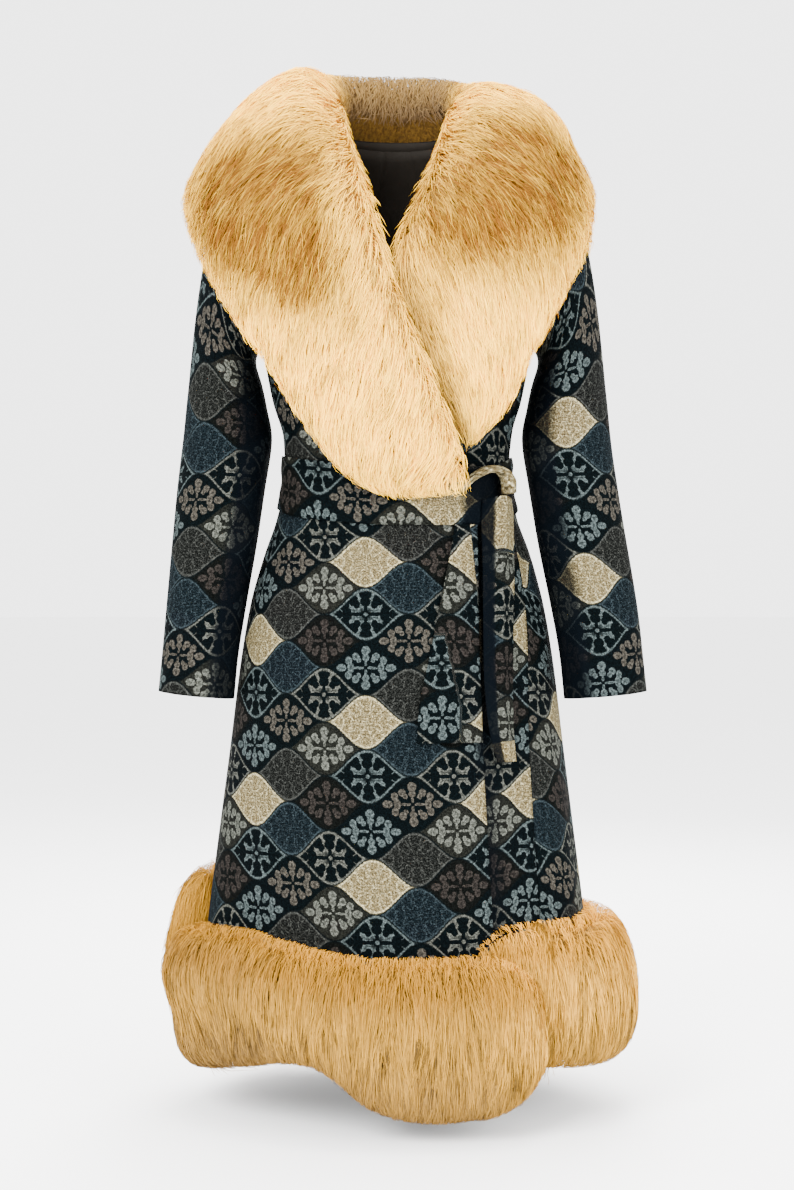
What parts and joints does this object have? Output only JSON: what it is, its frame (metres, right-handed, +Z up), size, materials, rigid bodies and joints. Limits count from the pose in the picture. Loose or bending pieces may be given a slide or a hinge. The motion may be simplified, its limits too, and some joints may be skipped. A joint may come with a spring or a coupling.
{
  "type": "belted tapestry wrap coat with fur collar and hem",
  "caption": "Long belted wrap coat of patterned tapestry cloth with a wide long-haired fur shawl collar and a deep fur hem, filled out and hollow as if worn.",
  "frame": {"origin": "middle of the neck opening, at the height of the seam between back and collar, where the wearer's neck carries the coat", "axes": "+Z up along the coat's length, the front faces -Y, +X is the side of the wearer's left hand"},
  "size_m": [0.6278, 0.5053, 1.3298],
  "materials": {
    "tapestry_cloth": "woven, matt",
    "long_fur": "long soft hair",
    "dark_lining": "smooth, slightly shiny"
  },
  "bodies": {
    "root": {"back": "tapestry_cloth", "front_over": "tapestry_cloth", "front_under": "tapestry_cloth", "sleeve_left": "tapestry_cloth", "sleeve_right": "tapestry_cloth", "belt_band": "tapestry_cloth", "belt_knot": "tapestry_cloth", "belt_tail_side": "tapestry_cloth", "belt_tail_front": "tapestry_cloth", "collar_over": "long_fur", "collar_under": "long_fur", "hem_fur_over": "long_fur", "hem_fur_under": "long_fur", "hem_fur_back": "long_fur", "back_lining": "dark_lining"}
  },
  "joints": []
}
